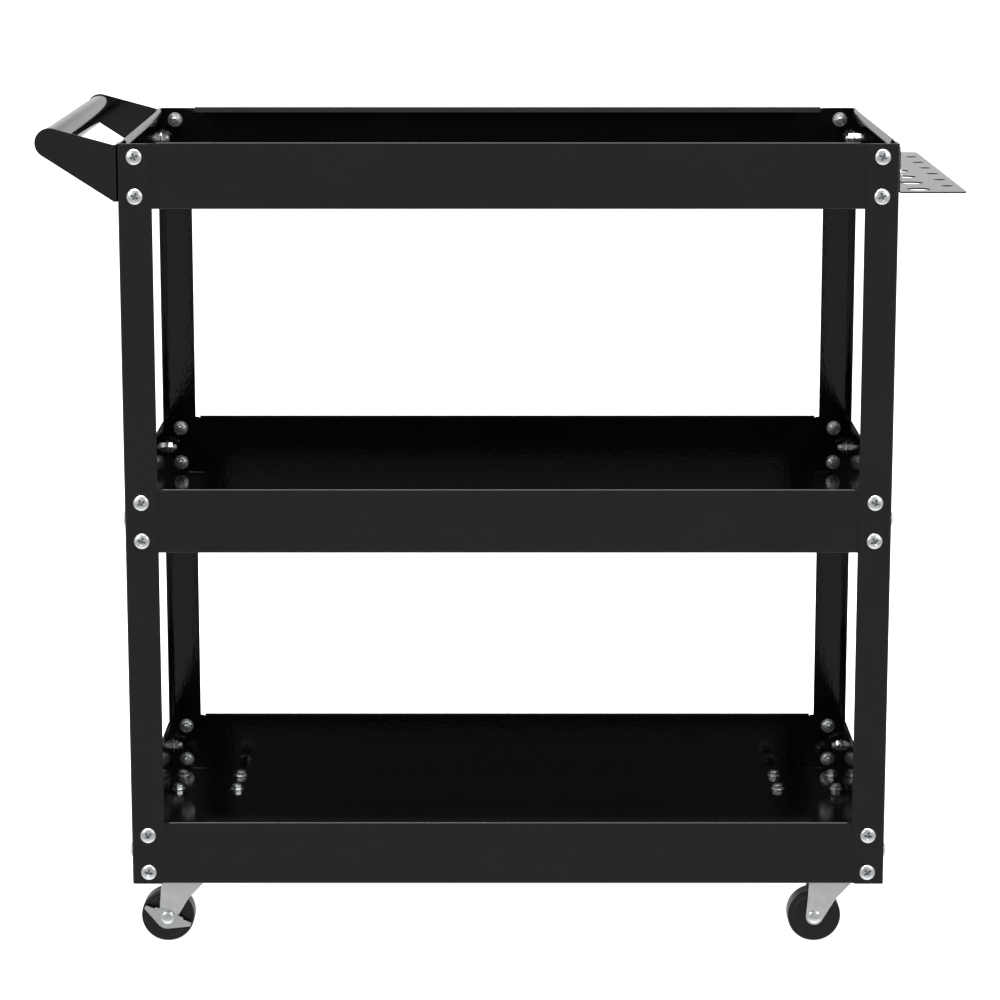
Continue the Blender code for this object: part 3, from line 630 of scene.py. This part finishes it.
def galvanised_sheet():
    """Steel strip with a hot-dip zinc coat, rolled and pressed.

    It is duller than plating, with faint streaks down the legs, along the rolling direction. The
    streaks are 2 mm apart, coarser than the real ones, so that they show.
    """
    made, tree, shader, place = new_finish("pressed galvanised steel")
    stretched = add_node(tree, "ShaderNodeMapping", {"Vector": place, "Scale": (1.0, 1.0, 0.12)})
    streaks = add_node(tree, "ShaderNodeTexNoise", {"Vector": stretched.outputs["Vector"],
                                                    "Scale": 1 / 0.002, "Detail": 3.0})
    spots = add_node(tree, "ShaderNodeTexNoise", {"Vector": place, "Scale": 1 / 0.006, "Detail": 4.0})
    haze = add_node(tree, "ShaderNodeMapRange", {"Value": spots.outputs["Fac"], "From Min": 0.3,
                                                 "From Max": 0.7, "To Min": 0.36, "To Max": 0.52})
    rolled = add_node(tree, "ShaderNodeBump", {"Height": streaks.outputs["Fac"], "Distance": 0.00001})
    colour = add_node(tree, "ShaderNodeValToRGB", {"Fac": streaks.outputs["Fac"]})
    colour.color_ramp.elements[0].color = linear("#e8eaeb")
    colour.color_ramp.elements[1].color = linear("#f6f7f8")
    tree.links.new(colour.outputs["Color"], shader.inputs["Base Color"])
    tree.links.new(haze.outputs["Result"], shader.inputs["Roughness"])
    tree.links.new(rolled.outputs["Normal"], shader.inputs["Normal"])
    shader.inputs["Metallic"].default_value = 1.0
    return made


galvanised = galvanised_sheet()
plate_bolt = bolt_mesh(PLATE_SHANK)
small_nut = nut_mesh(*SMALL_NUT)
plate_low, plate_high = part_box("caster_plate_front_left")
plate_top = plate_high.z
plate_bottom = plate_top - PLATE_SHEET
race_bottom = plate_low.z
half_x, half_y = (plate_high.x - plate_low.x) / 2, (plate_high.y - plate_low.y) / 2
outline = []
for quarter, (sx, sy) in enumerate(((1, 1), (-1, 1), (-1, -1), (1, -1))):
    outline += arc(sx * (half_x - PLATE_CORNER), sy * (half_y - PLATE_CORNER), PLATE_CORNER,
                   90 * quarter, 90 * quarter + 90, 8)
holes = [circle(sx * CASTER_PATTERN[0] / 2, sy * CASTER_PATTERN[1] / 2, BOLT_HOLE)
         for sx in (-1, 1) for sy in (-1, 1)]
plate = to_mesh("plate", cut_blank(outline, holes, PLATE_SHEET), galvanised)
race = to_mesh("race", turn([
    (KINGPIN_RADIUS, plate_bottom + RACE_ROOT), (RACE_RADIUS, plate_bottom + RACE_ROOT),
    *arc(RACE_RADIUS - RACE_EASE, race_bottom + RACE_EASE, RACE_EASE, 0, -90, 4),
    (KINGPIN_RADIUS, race_bottom)], closed=True), galvanised)
pin_low, pin_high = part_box("caster_kingpin_front_left")
head = (pin_high.x - pin_low.x) / 2
kingpin = to_mesh("kingpin", turn([
    (0, pin_high.z), (KINGPIN_RADIUS - KINGPIN_EASE, pin_high.z),
    (KINGPIN_RADIUS, pin_high.z - KINGPIN_EASE), (KINGPIN_RADIUS, pin_low.z + KINGPIN_HEAD[0][1]),
    *[(head * part, pin_low.z + height) for part, height in KINGPIN_HEAD], (0, pin_low.z)]), zinc)
floor_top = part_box("tray_bottom_floor")[1].z
for (face, side), swivel in swivels.items():
    where = f"{face}_{side}"
    over = Matrix.Translation((swivel.x, swivel.y, 0))
    show(f"top_plate_{where}", plate, "galvanised_steel", "frame", f"caster_plate_{where}", eased=PLATE_EASE,
         place=Matrix.Translation((swivel.x, swivel.y, plate_bottom)))
    show(f"ball_race_{where}", race, "galvanised_steel", "frame", place=over)
    show(f"kingpin_rivet_{where}", kingpin, "zinc_plated_steel", "frame", f"caster_kingpin_{where}",
         place=over)
for count, ((face, side, sx, sy), (x, y)) in enumerate(caster_bolts.items()):
    where = f"{face}_{side}_{count % 4 + 1}"
    show(f"plate_bolt_{where}", plate_bolt, "zinc_plated_steel", "frame",
         place=facing((x, y, plate_bottom), (0, 0, -1), PLATE_BOLT_STEP * count))
    show(f"plate_nut_{where}", small_nut, "zinc_plated_steel", "frame",
         place=facing((x, y, floor_top), (0, 0, 1), PLATE_NUT_STEP * count))

# ---- Caster forks and axles ----
# Each fork is one blank of 2 mm galvanised sheet with its two legs folded down, under a turned ball cup.
# The axle is a zinc plated rivet through both legs, and it stands off its near leg where there is a brake.
FORK_SHEET = 0.0020
FORK_BEND_RADIUS = 0.0015
FORK_END_RADIUS = 0.0080
FORK_BACK = 0.0050  # straight rear edge behind the axle, at the crown
FORK_KNEE = (0.020, 0.018)  # from the axle to where the front edge turns up
FORK_SHOULDER = 0.034  # above the axle
FORK_HALF = 0.0135
FORK_EASE = 0.0004
CUP_HEIGHT = 0.0028
CUP_EASE = 0.0008
CUP_EDGE = 0.0018  # from the cup's top to the foot of its edge
CUP_SLOPE = 0.0025  # from the edge in to where the slope meets the fork
KINGPIN_CLEARANCE = 0.0004
AXLE_RADIUS = 0.0030
AXLE_CLEARANCE = 0.0001
AXLE_HEAD = (0.0063, 0.0022)  # radius and height
AXLE_DOME = (0, 25, 45, 62, 76)  # degrees down from the top of the dome
AXLE_RIM = 0.18  # height of the head's edge, as a part of the whole

wheel_low, wheel_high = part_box("caster_wheel_front_left")
axle_z = (wheel_low.z + wheel_high.z) / 2
trail = swivels["front", "left"].x - (wheel_low.x + wheel_high.x) / 2
fork_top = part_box("caster_fork_front_left")[1].z
sheet_top = fork_top - CUP_HEIGHT
fork_setback = FORK_BEND_RADIUS + FORK_SHEET
fork_curve = bend_length(90, FORK_BEND_RADIUS, FORK_SHEET)
crown_half = FORK_HALF - fork_setback


def down_leg(u, z):
    """A point on a leg, from its height on the finished fork to its place on the blank."""
    return u, crown_half + sheet_top - z - fork_setback + fork_curve


knee_u, knee_z = FORK_KNEE
spread = math.acos(FORK_END_RADIUS / math.hypot(knee_u, knee_z))
tangent_angle = math.degrees(math.atan2(knee_z, knee_u) - spread)
foot = arc(-trail, axle_z, FORK_END_RADIUS, 360 + tangent_angle, 180, 24)
pin_hole = KINGPIN_RADIUS + KINGPIN_CLEARANCE
leg = [(RACE_RADIUS, crown_half), down_leg(RACE_RADIUS, axle_z + FORK_SHOULDER),
       down_leg(knee_u - trail, axle_z + knee_z), *[down_leg(*point) for point in foot],
       (-trail - FORK_BACK, crown_half)]
bm = cut_blank(leg + [(u, -v) for u, v in leg[::-1]],
               [circle(0, 0, pin_hole),
                *[circle(-trail, sign * down_leg(0, axle_z)[1], AXLE_RADIUS + AXLE_CLEARANCE)
                  for sign in (-1, 1)]],
               FORK_SHEET)
for sign in (-1, 1):
    fold(bm, (0, sign * crown_half), (0, sign), 90, FORK_BEND_RADIUS, FORK_SHEET, up=False)
bmesh.ops.translate(bm, verts=bm.verts, vec=(0, 0, sheet_top - FORK_SHEET))
fork = to_mesh("fork", bm, galvanised)
cup = to_mesh("cup", turn([
    (pin_hole, fork_top), (RACE_RADIUS - CUP_EASE, fork_top), (RACE_RADIUS, fork_top - CUP_EASE),
    (RACE_RADIUS, fork_top - CUP_EDGE), (RACE_RADIUS - CUP_SLOPE, sheet_top), (pin_hole, sheet_top)],
    closed=True), galvanised)


def axle_mesh(stand_off):
    """A pin with a domed head at each end; the near head clears the leg by the stand-off."""
    radius, height = AXLE_HEAD
    near, far = FORK_HALF + stand_off, FORK_HALF
    angles = [math.radians(k) for k in AXLE_DOME]
    dome = [(radius * math.sin(a), height * math.cos(a)) for a in angles]
    rim = [(radius, height * AXLE_RIM), (radius, 0)]
    return to_mesh("axle", turn([
        *[(r, near + h) for r, h in dome + rim], (AXLE_RADIUS, near), (AXLE_RADIUS, -far),
        *[(r, -far - h) for r, h in (dome + rim)[::-1]]]), zinc)


brake_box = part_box("brake_lever_front_left")
brake_sheet = brake_box[1].y - brake_box[0].y
axles = {"left": axle_mesh(swivels["front", "left"].y - FORK_HALF - brake_box[0].y), "right": axle_mesh(0)}
for (face, side), swivel in swivels.items():
    where = f"{face}_{side}"
    over = Matrix.Translation((swivel.x, swivel.y, 0))
    show(f"pressed_fork_{where}", fork, "galvanised_steel", f"fork_{where}", f"caster_fork_{where}",
         place=over, eased=FORK_EASE)
    show(f"ball_cup_{where}", cup, "galvanised_steel", f"fork_{where}", place=over)
    show(f"axle_rivet_{where}", axles[side], "zinc_plated_steel", f"fork_{where}", f"caster_axle_{where}",
         place=facing((swivel.x - trail, swivel.y, axle_z), (0, -1, 0)))

# ---- Wheels ----
# Each wheel is moulded in one piece of black polypropylene, 50 mm across and 20 mm wide.
# It has a hub boss, a shallow recess in each face and eased tread edges, and it turns on the axle.
WHEEL_BORE = 0.0034
WHEEL_EASE = 0.0004
HUB_RADIUS = 0.0085
HUB_EASE = 0.0005
HUB_FOOT = (0.0006, 0.0012)  # from the hub's edge out to the foot of its slope, and to the recess
WHEEL_RECESS = 0.0006
SLOPE_EASE = 0.0001  # a slope ends this far short of the recess or the rim, so that it runs out softly
RIM_FOOT = (0.0062, 0.0055)  # from the tread in to the recess, and to the foot of the rim's slope
RIM_TOP = (0.0046, 0.0038)  # from the tread in to the top of the slope, and to the rim's flat
TREAD_EASE = 0.0018


def moulded_plastic():
    """Black polypropylene, injection moulded in a spark-eroded tool.

    The fine spark texture gives it a satin look with soft highlights. Its grain is drawn at 0.8 mm,
    coarser than the real one, so that it shows.
    """
    made, tree, shader, place = new_finish("moulded black polypropylene")
    grain = add_node(tree, "ShaderNodeTexNoise", {"Vector": place, "Scale": 1 / 0.0008, "Detail": 2.0})
    flow = add_node(tree, "ShaderNodeTexNoise", {"Vector": place, "Scale": 1 / 0.012, "Detail": 3.0})
    relief = add_node(tree, "ShaderNodeBump", {"Height": grain.outputs["Fac"], "Distance": 0.000015})
    satin = add_node(tree, "ShaderNodeMapRange", {"Value": flow.outputs["Fac"], "From Min": 0.3,
                                                  "From Max": 0.7, "To Min": 0.28, "To Max": 0.38})
    colour = add_node(tree, "ShaderNodeValToRGB", {"Fac": flow.outputs["Fac"]})
    colour.color_ramp.elements[0].color = linear("#060606")
    colour.color_ramp.elements[1].color = linear("#0a0a0a")
    tree.links.new(colour.outputs["Color"], shader.inputs["Base Color"])
    tree.links.new(satin.outputs["Result"], shader.inputs["Roughness"])
    tree.links.new(relief.outputs["Normal"], shader.inputs["Normal"])
    shader.inputs["IOR"].default_value = 1.49
    return made


wheel_radius, half_wheel = (wheel_high.z - wheel_low.z) / 2, (wheel_high.y - wheel_low.y) / 2
recessed = half_wheel - WHEEL_RECESS
wheel_side = [(WHEEL_BORE, half_wheel - WHEEL_EASE), (WHEEL_BORE + WHEEL_EASE, half_wheel),
              (HUB_RADIUS - HUB_EASE, half_wheel), (HUB_RADIUS, half_wheel - WHEEL_EASE),
              (HUB_RADIUS + HUB_FOOT[0], recessed + SLOPE_EASE), (HUB_RADIUS + HUB_FOOT[1], recessed),
              (wheel_radius - RIM_FOOT[0], recessed), (wheel_radius - RIM_FOOT[1], recessed + SLOPE_EASE),
              (wheel_radius - RIM_TOP[0], half_wheel - SLOPE_EASE), (wheel_radius - RIM_TOP[1], half_wheel),
              *arc(wheel_radius - TREAD_EASE, half_wheel - TREAD_EASE, TREAD_EASE, 90, 0, 6)]
wheel = to_mesh("wheel", turn(wheel_side + [(r, -h) for r, h in wheel_side[::-1]], sides=96, closed=True),
                moulded_plastic())
for (face, side), swivel in swivels.items():
    where = f"{face}_{side}"
    show(f"moulded_wheel_{where}", wheel, "black_wheel_plastic", f"wheel_{where}", f"caster_wheel_{where}",
         place=facing((swivel.x - trail, swivel.y, axle_z), (0, -1, 0)))

# ---- Wheel brakes ----
# Each left caster has a rocker lever of 1.5 mm zinc plated sheet on its axle, pressed down to brake and
# lifted to release. It rests in its released position, outer end down.
BRAKE_TILT = 22  # degrees
BRAKE_REACH = 0.0232
BRAKE_BELLY = 0.0112
BRAKE_TIP = (-0.0003, 0.0033)
BRAKE_SHOULDER = (0.0147, 0.0052)
BRAKE_BLUNT = 0.0015
BRAKE_CLEARANCE = 0.0004
BRAKE_EASE = 0.0003

low_v, high_v = BRAKE_TIP
shoulder, raised = BRAKE_SHOULDER
spread = math.degrees(math.acos(BRAKE_BELLY / math.hypot(BRAKE_REACH, low_v)))
start = 180 - math.degrees(math.atan2(low_v, BRAKE_REACH)) + spread
half = [(BRAKE_REACH, low_v), *arc(BRAKE_REACH - BRAKE_BLUNT, high_v - BRAKE_BLUNT, BRAKE_BLUNT, 0, 90, 4),
        (shoulder, high_v), (shoulder - BRAKE_BLUNT, raised)]
outline = arc(0, 0, BRAKE_BELLY, start, 540 - start, 24) + half + [(-u, v) for u, v in half[::-1]]
brake = to_mesh("brake", cut_blank(outline, [circle(0, 0, AXLE_RADIUS + BRAKE_CLEARANCE)], brake_sheet), zinc)
for face in ("front", "back"):
    swivel = swivels[face, "left"]
    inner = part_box(f"brake_lever_{face}_left")[1].y
    stand = Matrix.Translation((swivel.x - trail, inner, axle_z)) @ Matrix.Rotation(math.pi / 2, 4, "X")
    show(f"rocker_brake_{face}_left", brake, "zinc_plated_steel", f"brake_{face}_left",
         f"brake_lever_{face}_left", place=stand @ Matrix.Rotation(math.radians(-BRAKE_TILT), 4, "Z"),
         eased=BRAKE_EASE)

# ---- Studio ----
# A wide floor of white paper, a large soft lamp high up in front, a smaller one at each side, and a
# surround that is brighter behind the cart. A dark cloth above and behind it keeps the tray floors black.
FLOOR_SIZE = 120.0
SURROUND = (0.39, 0.80)  # brightness towards the front and the back
OVERHEAD = 1.1  # extra brightness straight up
OVERHEAD_RISE = (0.66, 0.9)  # where it starts and is full, as the upward part of a direction
UNDERNEATH = 0.9  # extra brightness straight down, as from the paper
UNDERNEATH_RISE = (-0.45, -1.0)
CLOTH_RISE = (0.13, 0.22)
CLOTH_BACK = 0.5  # where the cloth is full, as the backward part of a direction
CLOTH_DARKNESS = 0.92
LAMPS = {"high": (170, (3.4, 1.2), (-0.4, -1.15, 4.3)),  # power, width and height, and place
         "left": (24, (1.2, 1.2), (-2.3, -3.0, 1.7)),
         "right": (24, (1.2, 1.2), (2.3, -3.0, 1.7))}
LAMP_AIM = (0, 0, 0.4)
PAPER_GLOW = 0.95  # the paper is also lit from below, so that shadows on it stay faint

paper, tree, shader, place = new_finish("white seamless paper")
fibres = add_node(tree, "ShaderNodeTexNoise", {"Vector": place, "Scale": 1 / 0.004, "Detail": 2.0})
tone = add_node(tree, "ShaderNodeValToRGB", {"Fac": fibres.outputs["Fac"]})
tone.color_ramp.elements[0].color = linear("#f1f1f1")
tone.color_ramp.elements[1].color = linear("#f5f5f5")
tree.links.new(tone.outputs["Color"], shader.inputs["Base Color"])
shader.inputs["Roughness"].default_value = 0.9
shader.inputs["Specular IOR Level"].default_value = 0.0
shader.inputs["Emission Color"].default_value = linear("#ffffff")
shader.inputs["Emission Strength"].default_value = PAPER_GLOW
bm = bmesh.new()
bmesh.ops.create_grid(bm, x_segments=1, y_segments=1, size=FLOOR_SIZE / 2)
floor_mesh = bpy.data.meshes.new("paper_floor")
bm.to_mesh(floor_mesh)
bm.free()
floor_mesh.materials.append(paper)
floor = bpy.data.objects.new("paper_floor", floor_mesh)
bpy.context.collection.objects.link(floor)
floor.visible_glossy = False

world = bpy.data.worlds.new("studio surround")
bpy.context.scene.world = world
world.use_nodes = True
tree = world.node_tree
direction = add_node(tree, "ShaderNodeTexCoord").outputs["Generated"]
parts = add_node(tree, "ShaderNodeSeparateXYZ", {"Vector": direction})
around = add_node(tree, "ShaderNodeMapRange", {"Value": parts.outputs["Y"], "From Min": -1.0,
                                               "To Min": SURROUND[0], "To Max": SURROUND[1]})
raised = add_node(tree, "ShaderNodeMapRange", {"Value": parts.outputs["Z"], "From Min": CLOTH_RISE[0],
                                               "From Max": CLOTH_RISE[1], "To Max": CLOTH_DARKNESS})
behind = add_node(tree, "ShaderNodeMapRange", {"Value": parts.outputs["Y"], "From Max": CLOTH_BACK})
cloth = add_node(tree, "ShaderNodeMath", {0: raised.outputs["Result"], 1: behind.outputs["Result"]},
                 operation="MULTIPLY")
left_lit = add_node(tree, "ShaderNodeMath", {0: 1.0, 1: cloth.outputs["Value"]}, operation="SUBTRACT")
dimmed = add_node(tree, "ShaderNodeMath", {0: around.outputs["Result"], 1: left_lit.outputs["Value"]},
                  operation="MULTIPLY")
above = add_node(tree, "ShaderNodeMapRange", {"Value": parts.outputs["Z"], "From Min": OVERHEAD_RISE[0],
                                              "From Max": OVERHEAD_RISE[1], "To Max": OVERHEAD})
below = add_node(tree, "ShaderNodeMapRange", {"Value": parts.outputs["Z"], "From Min": UNDERNEATH_RISE[0],
                                              "From Max": UNDERNEATH_RISE[1], "To Max": UNDERNEATH})
both = add_node(tree, "ShaderNodeMath", {0: above.outputs["Result"], 1: below.outputs["Result"]},
                operation="ADD")
total = add_node(tree, "ShaderNodeMath", {0: dimmed.outputs["Value"], 1: both.outputs["Value"]},
                 operation="ADD")
seen = add_node(tree, "ShaderNodeLightPath").outputs["Is Camera Ray"]
strength = add_node(tree, "ShaderNodeMix", {"Factor": seen, "A": total.outputs["Value"], "B": 1.0},
                    data_type="FLOAT")
tree.links.new(strength.outputs["Result"], tree.nodes["Background"].inputs["Strength"])
tree.nodes["Background"].inputs["Color"].default_value = linear("#ffffff")

for name, (power, size, lamp_place) in LAMPS.items():
    lamp = bpy.data.lights.new(f"{name}_lamp", "AREA")
    lamp.shape, lamp.energy = "RECTANGLE", power
    lamp.size, lamp.size_y = size
    holder = bpy.data.objects.new(f"{name}_lamp", lamp)
    holder.location = lamp_place
    holder.rotation_euler = (Vector(LAMP_AIM) - holder.location).to_track_quat("-Z", "Y").to_euler()
    bpy.context.collection.objects.link(holder)
